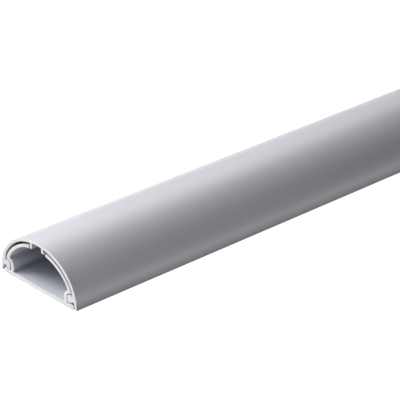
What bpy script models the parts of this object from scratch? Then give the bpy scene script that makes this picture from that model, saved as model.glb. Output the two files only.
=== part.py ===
"""Half-oval cable trunking: a base with two curved arms and a cover that clips over them.

Both pieces are straight extrusions, so each one is an outline in the X-Z plane
pulled out along Y. The origin is on the underside, at the middle of the length.
"""

import math

import bmesh
import bpy

MM = 0.001

# Driving dimensions, in millimetres.
length = 2000.0
cover_half_width = 25.0
cover_height = 22.4
springing = 1.9          # height of the ellipses' common centre
cover_wall_side = 1.6
cover_wall_crown = 1.5
leg_bottom = 0.6         # the cover's legs stop this far above the floor
leg_edge_radius = 0.15
base_shift = 0.15        # the base sits this far to the right under its cover

# The arms of the base, between an outer and an inner ellipse.
arm_outer = (22.7, 17.85)
arm_inner = (20.9, 16.6)
slot_half_width = 5.4    # half the open slot between the tips of the arms
arm_root_height = 8.6    # below this the arm's outer face runs straight down to the socket
notch_radius = 0.8       # where the arm's inner face runs into the socket wall
tip_lip_depth = 0.35     # one tip is flat underneath and reaches down this much further

# The round socket wall where each arm grows out of the floor plate.
plate_thickness = 2.0
socket_centre = (20.25, 4.35)
socket_radius = 3.65
socket_top_angle = math.radians(127)
socket_foot_angle = math.radians(205)
socket_wall_foot = 17.1

# The cover's ellipse gives way to a straight leg below this height.
leg_top_height = 9.0
bead_neck = (22.25, 5.8)  # where the bead's upper side meets the leg
hollow_top = 3.45        # the small hollow under the bead reaches up to here

# The two ribs under the crown of the cover, by their sides.
plain_rib_sides = (-4.55, -3.3)
footed_rib_sides = (2.75, 3.95)

# Half width and rise of the cover's ellipses, above the springing line.
cover_outer = (cover_half_width, cover_height - springing)
cover_inner = (cover_outer[0] - cover_wall_side, cover_outer[1] - cover_wall_crown)

ARC_STEP = math.radians(2.5)
CORNER_STEP = math.radians(22.5)

PVC_COLOUR = (0.60, 0.60, 0.63, 1.0)
BASE_COLOUR = (0.58, 0.58, 0.61, 1.0)
PVC_ROUGHNESS = 0.42


def ellipse_arc(half_width, rise, start, end):
    """Sharp points on an ellipse about the springing line, from one angle to another."""
    steps = max(2, math.ceil(abs(end - start) / ARC_STEP))
    points = []
    for i in range(steps + 1):
        angle = start + (end - start) * i / steps
        points.append((half_width * math.cos(angle), springing + rise * math.sin(angle), 0.0))
    return points


def circle_arc(centre, radius, start, end):
    """Sharp points on a circle, from one angle to another."""
    steps = max(2, math.ceil(abs(end - start) / (3 * ARC_STEP)))
    points = []
    for i in range(steps + 1):
        angle = start + (end - start) * i / steps
        points.append((centre[0] + radius * math.cos(angle), centre[1] + radius * math.sin(angle), 0.0))
    return points


def angle_at_height(ellipse, height):
    return math.asin((height - springing) / ellipse[1])


def angle_at_x(ellipse, x):
    return math.acos(x / ellipse[0])


def arm_notch():
    """Where the arm's inner ellipse runs into the round socket wall, by halving the height between."""
    low = socket_centre[1]
    high = socket_centre[1] + socket_radius
    for _ in range(30):
        z = (low + high) / 2
        x = arm_inner[0] * math.cos(angle_at_height(arm_inner, z))
        wall_x = socket_centre[0] - math.sqrt(socket_radius ** 2 - (z - socket_centre[1]) ** 2)
        if wall_x < x:
            low = z
        else:
            high = z
    return x, z


def mirrored(path):
    """The same path on the other side, walked the other way."""
    return [(-x, z, radius) for x, z, radius in reversed(path)]


def shifted(path, dx):
    return [(x + dx, z, radius) for x, z, radius in path]


def round_corner(before, corner, after):
    """The points that replace one corner (x, z, radius) by an arc of that radius."""
    x, z, radius = corner
    if radius == 0.0:
        return [(x, z)]
    back = (before[0] - x, before[1] - z)
    ahead = (after[0] - x, after[1] - z)
    back_length = math.hypot(*back)
    ahead_length = math.hypot(*ahead)
    back = (back[0] / back_length, back[1] / back_length)
    ahead = (ahead[0] / ahead_length, ahead[1] / ahead_length)
    opening = math.acos(max(-1.0, min(1.0, back[0] * ahead[0] + back[1] * ahead[1])))
    reach = radius / math.tan(opening / 2)
    reach = min(reach, 0.48 * back_length, 0.48 * ahead_length)
    radius = reach * math.tan(opening / 2)
    bisector = (back[0] + ahead[0], back[1] + ahead[1])
    bisector_length = math.hypot(*bisector)
    depth = radius / math.sin(opening / 2)
    centre = (x + bisector[0] / bisector_length * depth, z + bisector[1] / bisector_length * depth)
    start = math.atan2(z + back[1] * reach - centre[1], x + back[0] * reach - centre[0])
    turn = math.pi - opening
    if back[0] * ahead[1] - back[1] * ahead[0] > 0:
        turn = -turn
    steps = max(2, math.ceil(abs(turn) / CORNER_STEP))
    points = []
    for i in range(steps + 1):
        angle = start + turn * i / steps
        points.append((centre[0] + radius * math.cos(angle), centre[1] + radius * math.sin(angle)))
    return points


def closed_outline(path):
    """Every corner of a closed path rounded by its own radius."""
    outline = []
    count = len(path)
    for i, corner in enumerate(path):
        outline += round_corner(path[i - 1], corner, path[(i + 1) % count])
    return outline


def base_half(with_lip):
    """The base's right half: plate end, snap socket, arm and socket wall."""
    nose_and_socket = [
        (22.3, 0.0, 0.8),
        (23.5, 1.05, 0.25),
        (22.95, 2.1, 0.25),
        (22.1, 2.5, 0.2),
        (18.55, 2.03, 0.6),
        (18.55, 6.05, 1.0),
        (21.5, 7.2, 0.3),
    ]
    arm_back = ellipse_arc(*arm_outer, angle_at_height(arm_outer, arm_root_height),
                           angle_at_x(arm_outer, slot_half_width))
    tip_top = arm_back.pop()
    socket_wall = circle_arc(socket_centre, socket_radius, socket_top_angle, socket_foot_angle)
    tip_height = springing + arm_inner[1] * math.sin(angle_at_x(arm_inner, slot_half_width))
    if with_lip:
        tip_height -= tip_lip_depth
    notch = arm_notch()
    arm_front = ellipse_arc(*arm_inner, angle_at_height(arm_inner, tip_height),
                            angle_at_height(arm_inner, notch[1] + 2 * notch_radius))
    if not with_lip:
        arm_front.pop(0)
    tip = [(tip_top[0], tip_top[1], 0.4), (slot_half_width, tip_height, 0.3)]
    floor = [(socket_wall_foot, plate_thickness, 0.5)]
    return nose_and_socket + arm_back + tip + arm_front + [(*notch, notch_radius)] + socket_wall + floor


def cover_half(crown_x):
    """The cover's right inner side, from the crown at crown_x down to the leg's foot."""
    crown = ellipse_arc(*cover_inner, angle_at_x(cover_inner, crown_x),
                        angle_at_height(cover_inner, leg_top_height))
    bead = [
        (*bead_neck, 0.1),
        (21.95, 5.75, 0.15),
        (21.4, 6.75, 0.3),
        (19.0, 5.8, 0.75),
        (19.0, 2.4, 0.5),
        (21.75, 2.93, 0.2),
        (22.0, hollow_top, 0.15),
    ]
    leg = [
        (23.2, hollow_top, 0.2),
        (23.4, 2.5, 0.2),
        (23.85, 1.6, 0.3),
        (24.0, leg_bottom, leg_edge_radius),
    ]
    return crown + bead + leg


def base_outline():
    right = base_half(with_lip=False)
    left = mirrored(base_half(with_lip=True))
    return closed_outline(shifted(right + left, base_shift))


def cover_outline():
    foot = angle_at_height(cover_outer, leg_bottom)
    back = ellipse_arc(*cover_outer, foot, math.pi - foot)
    for end in (0, -1):
        back[end] = (back[end][0], back[end][1], leg_edge_radius)
    plain_rib = [(plain_rib_sides[0], 18.0, 0.5), (plain_rib_sides[1], 18.0, 0.5)]
    footed_rib = [
        (footed_rib_sides[0], 18.7, 0.4),
        (4.7, 18.45, 0.35),
        (4.8, 19.3, 0.2),
        (footed_rib_sides[1], 19.45, 0.15),
    ]
    crown = ellipse_arc(*cover_inner, angle_at_x(cover_inner, plain_rib_sides[1]),
                        angle_at_x(cover_inner, footed_rib_sides[0]))
    left = mirrored(cover_half(-plain_rib_sides[0]))
    right = cover_half(footed_rib_sides[1])
    return closed_outline(back + left + plain_rib + crown + footed_rib + right)


def plastic(name, colour):
    material = bpy.data.materials.new(name)
    material.use_nodes = True
    shader = material.node_tree.nodes["Principled BSDF"]
    shader.inputs["Base Color"].default_value = colour
    shader.inputs["Roughness"].default_value = PVC_ROUGHNESS
    shader.inputs["Metallic"].default_value = 0.0
    return material


def extrusion(name, outline, material):
    """One closed body: the outline at the near end, pulled out to the far end."""
    mesh = bpy.data.meshes.new(name)
    build = bmesh.new()
    near = -length / 2 * MM
    ring = [build.verts.new((x * MM, near, z * MM)) for x, z in outline]
    cap = build.faces.new(ring)
    pulled = bmesh.ops.extrude_face_region(build, geom=[cap], use_keep_orig=True)
    far_verts = [item for item in pulled["geom"] if isinstance(item, bmesh.types.BMVert)]
    bmesh.ops.translate(build, verts=far_verts, vec=(0.0, length * MM, 0.0))
    bmesh.ops.recalc_face_normals(build, faces=build.faces)
    build.to_mesh(mesh)
    build.free()
    mesh.materials.append(material)
    mesh.shade_smooth()
    mesh.set_sharp_from_angle(angle=math.radians(30))
    piece = bpy.data.objects.new(name, mesh)
    bpy.context.scene.collection.objects.link(piece)
    return piece


def main():
    for old in list(bpy.data.objects):
        bpy.data.objects.remove(old)
    extrusion("trunking_base", base_outline(), plastic("base_plastic", BASE_COLOUR))
    extrusion("snap_cover", cover_outline(), plastic("cover_plastic", PVC_COLOUR))


main()
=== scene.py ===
import math

import bmesh
import bpy
from mathutils import Euler, Matrix, Vector


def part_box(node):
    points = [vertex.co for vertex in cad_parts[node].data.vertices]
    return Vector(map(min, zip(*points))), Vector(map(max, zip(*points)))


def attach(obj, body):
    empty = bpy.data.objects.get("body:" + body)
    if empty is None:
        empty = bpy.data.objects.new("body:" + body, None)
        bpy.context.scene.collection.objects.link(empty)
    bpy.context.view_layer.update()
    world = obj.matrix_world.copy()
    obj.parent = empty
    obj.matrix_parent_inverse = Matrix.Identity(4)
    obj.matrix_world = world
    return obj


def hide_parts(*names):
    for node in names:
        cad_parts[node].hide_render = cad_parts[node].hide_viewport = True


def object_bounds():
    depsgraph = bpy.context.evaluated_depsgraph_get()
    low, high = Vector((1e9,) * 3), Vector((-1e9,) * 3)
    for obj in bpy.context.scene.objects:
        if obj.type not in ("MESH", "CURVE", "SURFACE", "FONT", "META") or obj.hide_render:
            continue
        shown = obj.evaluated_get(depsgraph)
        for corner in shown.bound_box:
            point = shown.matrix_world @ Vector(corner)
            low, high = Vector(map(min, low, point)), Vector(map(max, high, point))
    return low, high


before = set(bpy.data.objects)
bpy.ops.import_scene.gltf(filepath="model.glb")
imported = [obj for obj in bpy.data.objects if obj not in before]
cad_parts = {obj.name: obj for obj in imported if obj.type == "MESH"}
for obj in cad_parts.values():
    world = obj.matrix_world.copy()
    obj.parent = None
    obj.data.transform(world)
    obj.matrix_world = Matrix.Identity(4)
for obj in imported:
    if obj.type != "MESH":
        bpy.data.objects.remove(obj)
cad_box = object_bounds()

MM = 0.001

# The low corner of the trunking's box, and the middle of its near end's lower edge, from the frame.
LOW = Vector(cad_box[0])
NEAR_END = Vector((0.0, LOW.y, 0.0))

# Camera, placed from the middle of the near end's lower edge.
CAMERA_OFFSET = Vector((0.56977, -0.42617, 0.39011))
CAMERA_YAW = math.radians(47.825)
CAMERA_PITCH = math.radians(26.206)
CAMERA_ROLL = math.radians(-0.231)
CAMERA_LENS_MM = 176.23
CAMERA_CLIP = (0.01, 100.0)
SENSOR_MM = 36.0

# Extrusion: rows of vertices along the length, and the broken edge of a saw cut.
BODY_ROWS_PER_HALF = 24
RIM_ROWS = 4
RIM_RADIUS = 0.12 * MM
RIM_RAGGED = 0.35
RAGGED_SCALE = 1600.0
RAGGED_DETAIL = 2.0
SHARP_ANGLE = math.radians(32)
CUT_FACE_NORMAL = 0.98
CAP_NORMAL = 0.5
WELD = 1e-6
SWEEP_WELD = 1e-7

# Colours, in linear light.
WHITE = (1.0, 1.0, 1.0, 1.0)
COVER_COLOUR = (0.410, 0.405, 0.438)
BASE_COLOUR = (0.433, 0.443, 0.490)
# The sawn ends' colour is partly the paleness of sawn PVC and partly painted light on the end faces.
CUT_COLOUR_WITH_PAINTED_LIGHT = (0.620, 0.620, 0.625)
FLOOR_COLOUR = (0.10, 0.10, 0.10, 1.0)

# Finish of the extruded skin. Each noise has its scale, its stretch along the length and its detail.
SKIN_ROUGHNESS = 0.40
ROUGHNESS_SPREAD = 0.04
SKIN_TINTS = (0.975, 1.025)
STREAKS = (650.0, 90.0, 3.0)
DIE_LINES = (2600.0, 300.0, 2.0)
CLOUDS = (38.0, 5.0, 2.0)
GRAIN = (5200.0, 1.0, 2.0)
STREAK_SHARE = 0.6
LINE_SHARE = 0.5
SKIN_BUMP = (0.25, 0.02 * MM)

# Finish of the sawn ends, with the saw's centre in the end's plane.
CUT_ROUGHNESS = 0.65
CUT_TINTS = (0.90, 1.06)
SAW_CENTRE = (0.075, -0.105)
SAW_ARC_SCALE = 3300.0
SAW_ARC_DETAIL = 3.0
SAW_ARC_SHARE = 0.45
SPECKLE = (3000.0, 1.0, 4.0)
CUT_BUMP = (0.5, 0.05 * MM)

# Noise lies mostly between these two values.
NOISE_LOW = 0.3
NOISE_HIGH = 0.7

# Painted shade: the cover darker towards its foot, and a sawn end darker towards -X.
FOOT_SHADE_BOTTOM = 0.6 * MM
FOOT_SHADE_TOP = 5.1 * MM
FOOT_SHADE_TONE = 0.33
CUT_LEFT_SHADE = 0.88

# The floor glows, a little more near the trunking's near end.
FLOOR_HALF = 60.0
FLOOR_DROP = 0.05 * MM
FLOOR_ROUGHNESS = 0.9
FLOOR_GLOW = 1.0
FLOOR_NEAR_GLOW = 0.083
FLOOR_NEAR_REACH = 0.35

# Lights by name: direction from their target, distance, size and power.
LIGHT_TARGET = NEAR_END + Vector((0.0, 0.02, 0.01))
LIGHTS = (
    ("far_left", (-0.90, -0.40, 0.50), 1.6, 0.90, 13.5),
    ("left", (-0.90, -0.40, 0.50), 0.8, 0.50, 2.94),
    ("front_left", (-0.35, -0.45, 0.80), 0.8, 0.50, 1.62),
    ("back_left", (-0.60, 0.60, 0.70), 0.8, 0.50, 1.62),
    ("near_left", (-0.70, -0.10, 0.90), 0.5, 0.35, 1.85),
    ("near_top", (0.00, -0.20, 1.00), 0.5, 0.35, 0.62),
    ("near_front_left", (-0.50, -0.70, 0.60), 0.5, 0.35, 0.26),
    ("near_front_right", (0.50, -0.60, 0.70), 0.5, 0.35, 0.26),
)

# A row of lights for the rest of the length, too narrow in their spread to reach the near end.
ROW_ALONG = (0.95, 1.40, 1.85)
ROW_LIGHT = ((-0.60, 0.00, 0.80), 0.45, 0.35, 0.9)
ROW_SPREAD = math.radians(100)


class Tree:
    """Short calls for adding and joining the nodes of one tree."""

    def __init__(self, tree):
        self.nodes = tree.nodes
        self.links = tree.links

    def put(self, socket, value):
        if isinstance(value, bpy.types.NodeSocket):
            self.links.new(value, socket)
        else:
            socket.default_value = value

    def add(self, kind, inputs=(), **settings):
        """Adds a node and returns its outputs."""
        node = self.nodes.new(kind)
        for name, value in settings.items():
            setattr(node, name, value)
        for key, value in dict(inputs).items():
            self.put(node.inputs[key], value)
        return node.outputs

    def calc(self, operation, *values, clamp=False):
        inputs = dict(enumerate(values))
        return self.add("ShaderNodeMath", inputs, operation=operation, use_clamp=clamp)[0]

    def vector(self, operation, inputs):
        return self.add("ShaderNodeVectorMath", inputs, operation=operation)[0]

    def remap(self, value, from_low, from_high, to_low, to_high, **settings):
        inputs = dict(enumerate((value, from_low, from_high, to_low, to_high)))
        return self.add("ShaderNodeMapRange", inputs, **settings)[0]


def end_ring(node_name):
    """The outline of a CAD piece at its near end, as (x, z), clockwise seen from that end."""
    build = bmesh.new()
    build.from_mesh(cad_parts[node_name].data)
    bmesh.ops.remove_doubles(build, verts=build.verts, dist=WELD)
    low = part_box(node_name)[0].y
    neighbours = {}
    for edge in build.edges:
        at_end = all(abs(vert.co.y - low) < WELD for vert in edge.verts)
        on_cap = [abs(face.normal.y) > CAP_NORMAL for face in edge.link_faces]
        if at_end and any(on_cap) and not all(on_cap):
            for vert in edge.verts:
                neighbours.setdefault(vert.index, []).append(edge.other_vert(vert).index)
    build.verts.ensure_lookup_table()
    start = min(neighbours)
    ring = []
    before, here = None, start
    while True:
        ring.append((build.verts[here].co.x, build.verts[here].co.z))
        ahead = [other for other in neighbours[here] if other != before]
        before, here = here, ahead[0]
        if here == start:
            break
    build.free()
    twice_area = sum(a[0] * b[1] - b[0] * a[1] for a, b in zip(ring, ring[1:] + ring[:1]))
    return ring if twice_area < 0 else ring[::-1]


def section_object(name, ring):
    """A closed curve of the section in its own XY plane, which the sweep stands up with -Y at the top."""
    data = bpy.data.curves.new(name, "CURVE")
    data.dimensions = "3D"
    spline = data.splines.new("POLY")
    spline.points.add(len(ring) - 1)
    for point, (x, z) in zip(spline.points, ring):
        point.co = (x, -z, 0.0, 1.0)
    spline.use_cyclic_u = True
    piece = bpy.data.objects.new(name, data)
    bpy.context.scene.collection.objects.link(piece)
    return piece


def sawn_extrusion_tree():
    """Sweeps a section along Y, with the edges of both saw cuts broken."""
    tree = bpy.data.node_groups.new("sawn_extrusion", "GeometryNodeTree")
    sockets = (
        ("Section", "NodeSocketGeometry"),
        ("Length", "NodeSocketFloat"),
        ("Body Rows", "NodeSocketInt"),
        ("Rim Rows", "NodeSocketInt"),
        ("Rim Radius", "NodeSocketFloat"),
        ("Ragged", "NodeSocketFloat"),
        ("Skin", "NodeSocketMaterial"),
        ("Cut", "NodeSocketMaterial"),
    )
    for name, kind in sockets:
        tree.interface.new_socket(name, in_out="INPUT", socket_type=kind)
    tree.interface.new_socket("Extrusion", in_out="OUTPUT", socket_type="NodeSocketGeometry")
    make = Tree(tree)
    calc = make.calc
    given = make.add("NodeGroupInput")

    # The rail: close rows round each broken edge, and even rows between.
    half = calc("MULTIPLY", given["Length"], 0.5)
    rows_per_half = calc("ADD", given["Body Rows"], given["Rim Rows"])
    last = calc("MULTIPLY", rows_per_half, 2.0)
    line = make.add("GeometryNodeMeshLine", {"Count": calc("ADD", last, 1.0)})["Mesh"]
    index = make.add("GeometryNodeInputIndex")["Index"]
    from_end = calc("MINIMUM", index, calc("SUBTRACT", last, index))
    turn_step = calc("DIVIDE", math.pi / 2, given["Rim Rows"])
    turn = calc("MULTIPLY", calc("MINIMUM", from_end, given["Rim Rows"]), turn_step)
    rim_depth = calc("MULTIPLY", given["Rim Radius"], calc("SUBTRACT", 1.0, calc("COSINE", turn)))
    body_step = calc("DIVIDE", calc("SUBTRACT", half, given["Rim Radius"]), given["Body Rows"])
    body_row = calc("MAXIMUM", calc("SUBTRACT", from_end, given["Rim Rows"]), 0.0)
    depth = calc("ADD", rim_depth, calc("MULTIPLY", body_row, body_step))
    side = calc("SIGN", calc("SUBTRACT", index, rows_per_half))
    along = calc("MULTIPLY", side, calc("SUBTRACT", half, depth))
    place = make.add("ShaderNodeCombineXYZ", {"Y": along})[0]
    rail = make.add("GeometryNodeSetPosition", {"Geometry": line, "Position": place})[0]
    rail = make.add("GeometryNodeMeshToCurve", {"Mesh": rail})[0]
    rail = make.add("GeometryNodeSetCurveNormal", {"Curve": rail}, mode="Z_UP")[0]
    swept = make.add("GeometryNodeCurveToMesh", {
        "Curve": rail, "Profile Curve": given["Section"], "Fill Caps": True})[0]

    # The broken edge: a quarter round, a little ragged, drawn in along the outline's normal.
    here = make.add("GeometryNodeInputPosition")["Position"]
    to_end = calc("SUBTRACT", half, calc("ABSOLUTE", make.add("ShaderNodeSeparateXYZ", {0: here})["Y"]))
    share = calc("DIVIDE", calc("SUBTRACT", given["Rim Radius"], to_end), given["Rim Radius"], clamp=True)
    drop = calc("SUBTRACT", 1.0, calc("SQRT", calc("SUBTRACT", 1.0, calc("MULTIPLY", share, share))))
    grain = make.add("ShaderNodeTexNoise", {"Scale": RAGGED_SCALE, "Detail": RAGGED_DETAIL})[0]
    ragged = calc("ADD", 1.0, calc("MULTIPLY", given["Ragged"], calc("SUBTRACT", grain, 0.5)))
    inset = calc("MULTIPLY", calc("MULTIPLY", drop, ragged), given["Rim Radius"])
    normal = make.add("ShaderNodeSeparateXYZ", {0: make.add("GeometryNodeInputNormal")["Normal"]})
    outward = make.add("ShaderNodeCombineXYZ", {"X": normal["X"], "Z": normal["Z"]})[0]
    outward = make.vector("NORMALIZE", {0: outward})
    inward = make.vector("SCALE", {0: outward, "Scale": calc("MULTIPLY", inset, -1.0)})
    broken = make.add("GeometryNodeSetPosition", {"Geometry": swept, "Offset": inward})[0]

    is_cut = calc("GREATER_THAN", calc("ABSOLUTE", normal["Y"]), CUT_FACE_NORMAL)
    real = make.add("GeometryNodeRealizeInstances", {"Geometry": broken})[0]
    skin = make.add("GeometryNodeSetMaterial", {"Geometry": real, "Material": given["Skin"]})[0]
    cut = make.add("GeometryNodeSetMaterial", {
        "Geometry": skin, "Selection": is_cut, "Material": given["Cut"]})[0]
    make.put(tree.nodes.new("NodeGroupOutput").inputs[0], cut)
    return tree


def set_inputs(modifier, values):
    for item in modifier.node_group.interface.items_tree:
        if item.name in values:
            modifier[item.identifier] = values[item.name]


def sawn_extrusion(name, node_name, tree, skin, cut):
    """A piece of trunking swept from its CAD section, as a plain mesh."""
    low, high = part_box(node_name)
    section = section_object(name + "_section", end_ring(node_name))
    sweep = section.modifiers.new("sweep", "NODES")
    sweep.node_group = tree
    set_inputs(sweep, {
        "Length": high.y - low.y,
        "Body Rows": BODY_ROWS_PER_HALF,
        "Rim Rows": RIM_ROWS,
        "Rim Radius": RIM_RADIUS,
        "Ragged": RIM_RAGGED,
        "Skin": skin,
        "Cut": cut,
    })
    depsgraph = bpy.context.evaluated_depsgraph_get()
    mesh = bpy.data.meshes.new_from_object(section.evaluated_get(depsgraph), depsgraph=depsgraph)
    mesh.name = name
    section_data = section.data
    bpy.data.objects.remove(section)
    bpy.data.curves.remove(section_data)
    middle = (low.y + high.y) / 2
    for vert in mesh.vertices:
        vert.co.y += middle
    build = bmesh.new()
    build.from_mesh(mesh)
    bmesh.ops.remove_doubles(build, verts=build.verts, dist=SWEEP_WELD)
    bmesh.ops.recalc_face_normals(build, faces=build.faces)
    build.to_mesh(mesh)
    build.free()
    mesh.shade_smooth()
    mesh.set_sharp_from_angle(angle=SHARP_ANGLE)
    piece = bpy.data.objects.new(name, mesh)
    bpy.context.scene.collection.objects.link(piece)
    return piece


def new_material(name, roughness):
    material = bpy.data.materials.new(name)
    material.use_nodes = True
    shader = material.node_tree.nodes["Principled BSDF"]
    shader.inputs["Roughness"].default_value = roughness
    return material, Tree(material.node_tree), shader


def tinted(colour, factor):
    return (*[min(1.0, channel * factor) for channel in colour], 1.0)


def noise_along(make, spot, scale, stretch, detail):
    """Noise whose features are drawn out along Y by the stretch."""
    mapped = make.add("ShaderNodeMapping", {"Vector": spot, "Scale": (1.0, 1.0 / stretch, 1.0)})[0]
    return make.add("ShaderNodeTexNoise", {"Vector": mapped, "Scale": scale, "Detail": detail})[0]


def blended(make, first, second, share):
    """A share of the first and the rest of the second."""
    return make.calc("ADD", make.calc("MULTIPLY", first, share), make.calc("MULTIPLY", second, 1.0 - share))


def mottled(make, noise, colour, tints):
    """The colour between its two tints, by the noise."""
    shade = make.remap(noise, NOISE_LOW, NOISE_HIGH, 0.0, 1.0)
    low, high = [tinted(colour, tint) for tint in tints]
    return make.add("ShaderNodeMix", {0: shade, 6: low, 7: high}, data_type="RGBA")[2]


def bump(make, shader, height, strength, distance):
    relief = make.add("ShaderNodeBump", {"Strength": strength, "Distance": distance, "Height": height})[0]
    make.put(shader.inputs["Normal"], relief)


def extruded_skin(name, colour, foot_shade_tone=1.0):
    """Satin rigid PVC as it leaves the die: streaks along the length, a fine grain, and painted shade that
    darkens it towards the foot.
    """
    material, make, shader = new_material(name, SKIN_ROUGHNESS)
    spot = make.add("ShaderNodeTexCoord")["Object"]
    streaks = noise_along(make, spot, *STREAKS)
    lines = noise_along(make, spot, *DIE_LINES)
    clouds = noise_along(make, spot, *CLOUDS)
    grain = noise_along(make, spot, *GRAIN)
    surface = mottled(make, blended(make, streaks, clouds, STREAK_SHARE), colour, SKIN_TINTS)
    height_above = make.add("ShaderNodeSeparateXYZ", {0: spot})["Z"]
    # Painted shade: the colour darkens towards the foot, where shade from the floor would fall.
    foot = make.remap(height_above, FOOT_SHADE_BOTTOM, FOOT_SHADE_TOP, foot_shade_tone, 1.0)
    make.put(shader.inputs["Base Color"], make.vector("SCALE", {0: surface, "Scale": foot}))
    smooth = SKIN_ROUGHNESS - ROUGHNESS_SPREAD
    rough = SKIN_ROUGHNESS + ROUGHNESS_SPREAD
    make.put(shader.inputs["Roughness"], make.remap(streaks, NOISE_LOW, NOISE_HIGH, smooth, rough))
    bump(make, shader, blended(make, lines, grain, LINE_SHARE), *SKIN_BUMP)
    return material


def saw_cut(name, colour):
    """The dull face that a circular saw leaves, with the arcs of its teeth; its pale colour is partly sawn
    PVC and partly painted light, and painted shade darkens it towards -X.
    """
    material, make, shader = new_material(name, CUT_ROUGHNESS)
    spot = make.add("ShaderNodeTexCoord")["Object"]
    axis = make.add("ShaderNodeSeparateXYZ", {0: spot})
    across = make.calc("SUBTRACT", axis["X"], SAW_CENTRE[0])
    above = make.calc("SUBTRACT", axis["Z"], SAW_CENTRE[1])
    square = make.calc("ADD", make.calc("MULTIPLY", across, across), make.calc("MULTIPLY", above, above))
    radius = make.calc("SQRT", square)
    arcs = make.add("ShaderNodeTexNoise", {
        "W": radius, "Scale": SAW_ARC_SCALE, "Detail": SAW_ARC_DETAIL}, noise_dimensions="1D")[0]
    speckle = noise_along(make, spot, *SPECKLE)
    tone = blended(make, arcs, speckle, SAW_ARC_SHARE)
    surface = mottled(make, tone, colour, CUT_TINTS)
    # Painted shade: the sawn face is darker towards -X.
    side = make.remap(axis["X"], LOW.x, 0.0, CUT_LEFT_SHADE, 1.0)
    make.put(shader.inputs["Base Color"], make.vector("SCALE", {0: surface, "Scale": side}))
    bump(make, shader, tone, *CUT_BUMP)
    return material


def floor():
    """A wide pale floor just under the trunking."""
    mesh = bpy.data.meshes.new("floor")
    height = LOW.z - FLOOR_DROP
    corners = [
        (-FLOOR_HALF, -FLOOR_HALF, height),
        (FLOOR_HALF, -FLOOR_HALF, height),
        (FLOOR_HALF, FLOOR_HALF, height),
        (-FLOOR_HALF, FLOOR_HALF, height),
    ]
    mesh.from_pydata(corners, [], [(0, 1, 2, 3)])
    piece = bpy.data.objects.new("floor", mesh)
    bpy.context.scene.collection.objects.link(piece)
    material, make, shader = new_material("pale_floor", FLOOR_ROUGHNESS)
    shader.inputs["Base Color"].default_value = FLOOR_COLOUR
    shader.inputs["Specular IOR Level"].default_value = 0.0
    shader.inputs["Emission Color"].default_value = WHITE
    axis = make.add("ShaderNodeSeparateXYZ", {0: make.add("ShaderNodeTexCoord")["Object"]})
    along = make.calc("SUBTRACT", axis["Y"], LOW.y)
    spot = make.add("ShaderNodeCombineXYZ", {"X": axis["X"], "Y": along})[0]
    away = make.add("ShaderNodeVectorMath", {0: spot}, operation="LENGTH")["Value"]
    near = make.remap(away, 0.0, FLOOR_NEAR_REACH, FLOOR_NEAR_GLOW, 0.0, interpolation_type="SMOOTHSTEP")
    make.put(shader.inputs["Emission Strength"], make.calc("ADD", near, FLOOR_GLOW))
    mesh.materials.append(material)


def soft_light(name, direction, distance, size, power, target=LIGHT_TARGET, spread=math.pi):
    """A square area light that looks at the trunking from one side."""
    data = bpy.data.lights.new(name, "AREA")
    data.shape = "SQUARE"
    data.size = size
    data.energy = power
    data.spread = spread
    light = bpy.data.objects.new(name, data)
    aim = Vector(direction).normalized()
    light.location = target + aim * distance
    light.rotation_euler = (-aim).to_track_quat("-Z", "Y").to_euler()
    bpy.context.scene.collection.objects.link(light)


def studio():
    """The lights, and a white backdrop that gives no light of its own."""
    world = bpy.data.worlds.new("studio")
    world.use_nodes = True
    background = world.node_tree.nodes["Background"]
    background.inputs["Color"].default_value = WHITE
    make = Tree(world.node_tree)
    make.put(background.inputs["Strength"], make.add("ShaderNodeLightPath")["Is Camera Ray"])
    bpy.context.scene.world = world
    for light in LIGHTS:
        soft_light(*light)
    for i, along in enumerate(ROW_ALONG):
        spot = LIGHT_TARGET + Vector((0.0, along, 0.0))
        soft_light(f"row_{i + 1}", *ROW_LIGHT, target=spot, spread=ROW_SPREAD)
    bpy.context.scene.view_settings.view_transform = "Standard"


def camera():
    data = bpy.data.cameras.new("camera")
    data.sensor_fit = "HORIZONTAL"
    data.sensor_width = SENSOR_MM
    data.lens = CAMERA_LENS_MM
    data.clip_start, data.clip_end = CAMERA_CLIP
    view = bpy.data.objects.new("camera", data)
    view.location = NEAR_END + CAMERA_OFFSET
    aim = Euler((math.pi / 2 - CAMERA_PITCH, 0.0, CAMERA_YAW)).to_matrix()
    view.rotation_euler = (aim @ Matrix.Rotation(CAMERA_ROLL, 3, "Z")).to_euler()
    bpy.context.scene.collection.objects.link(view)
    bpy.context.scene.camera = view


def trunking():
    tree = sawn_extrusion_tree()
    cut = saw_cut("sawn_end", CUT_COLOUR_WITH_PAINTED_LIGHT)
    base_skin = extruded_skin("base_skin", BASE_COLOUR)
    base = sawn_extrusion("base_extrusion", "trunking_base", tree, base_skin, cut)
    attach(base, "base")
    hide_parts("trunking_base")
    cover_skin = extruded_skin("cover_skin", COVER_COLOUR, FOOT_SHADE_TONE)
    cover = sawn_extrusion("cover_extrusion", "snap_cover", tree, cover_skin, cut)
    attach(cover, "cover")
    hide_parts("snap_cover")


trunking()
floor()
studio()
camera()
